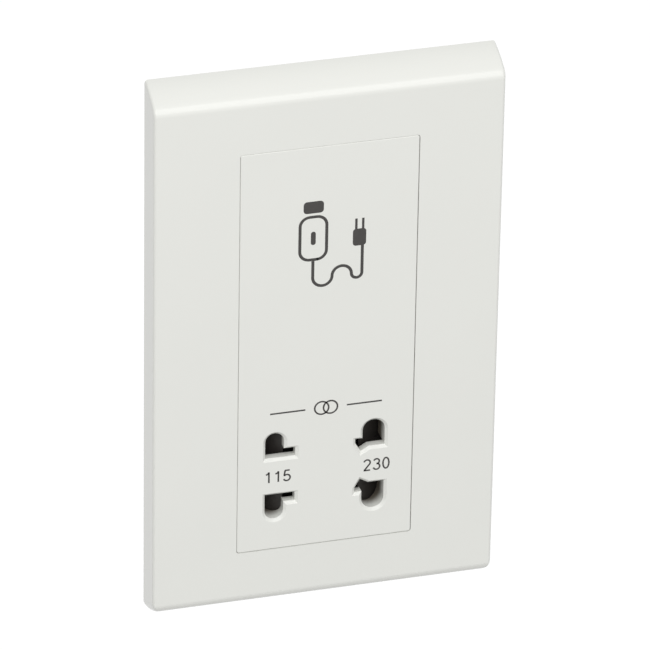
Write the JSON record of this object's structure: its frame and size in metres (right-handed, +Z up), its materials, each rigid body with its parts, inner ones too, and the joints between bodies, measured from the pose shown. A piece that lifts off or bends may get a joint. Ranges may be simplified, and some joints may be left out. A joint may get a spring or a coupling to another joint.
{
  "type": "shaver socket",
  "caption": "Portrait wall plate with sloped ends and a flush panel holding dual-voltage shaver outlets, with spring shutters and an isolating transformer behind.",
  "frame": {"origin": "middle of the plate on the wall surface, halfway between the two fixing holes", "axes": "+X to the right seen from the room, +Y into the wall, +Z up"},
  "size_m": [0.086, 0.0465, 0.146],
  "materials": {
    "plate_white": "moulded urea with a soft gloss",
    "panel_white": "moulded urea with a soft gloss",
    "frame_grey": "moulded, fine texture",
    "housing_white": "moulded, fine texture",
    "shutter_black": "moulded acetal",
    "carrier_black": "moulded phenolic",
    "contact_brass": "rolled strip",
    "core_steel": "stacked laminations, varnished",
    "plated_steel": "zinc plated",
    "bobbin_nylon": "glass-filled nylon",
    "winding_copper": "enamelled wire under clear tape",
    "cutout_black": "moulded case",
    "lead_brown": "insulated lead",
    "lead_blue": "insulated lead",
    "lead_grey": "insulated lead"
  },
  "bodies": {
    "unit": {"cover_plate": "plate_white", "front_panel": "panel_white", "support_frame": "frame_grey", "rear_housing": "housing_white", "terminal_block": "housing_white", "contact_carrier": "carrier_black", "contact_115v": "contact_brass", "contact_230v": "contact_brass", "contact_common": "contact_brass", "terminal_live": "contact_brass", "terminal_neutral": "contact_brass", "terminal_earth": "contact_brass", "core_e_stack": "core_steel", "core_i_stack": "core_steel", "core_clamp": "plated_steel", "casing_screws": "plated_steel", "terminal_screws": "plated_steel", "shutter_spring_115v": "plated_steel", "shutter_spring_230v": "plated_steel", "coil_bobbin": "bobbin_nylon", "primary_winding": "winding_copper", "secondary_winding": "winding_copper", "thermal_cutout": "cutout_black", "lead_live": "lead_brown", "lead_neutral": "lead_blue", "lead_115v": "lead_grey", "lead_230v": "lead_grey", "lead_common": "lead_grey"},
    "shutter_115v": {"shutter_115v": "shutter_black"},
    "shutter_230v": {"shutter_230v": "shutter_black"}
  },
  "joints": [
    {"name": "shutter_115v_slide", "type": "slide", "parent": "unit", "child": "shutter_115v", "axis": [1, 0, 0], "range_m": [0, 0.0076], "stiffness_N_per_m": 60, "springref_m": -0.004, "deforming": ["shutter_spring_115v"]},
    {"name": "shutter_230v_slide", "type": "slide", "parent": "unit", "child": "shutter_230v", "axis": [-1, 0, 0], "range_m": [0, 0.0076], "stiffness_N_per_m": 60, "springref_m": -0.004, "deforming": ["shutter_spring_230v"]}
  ]
}
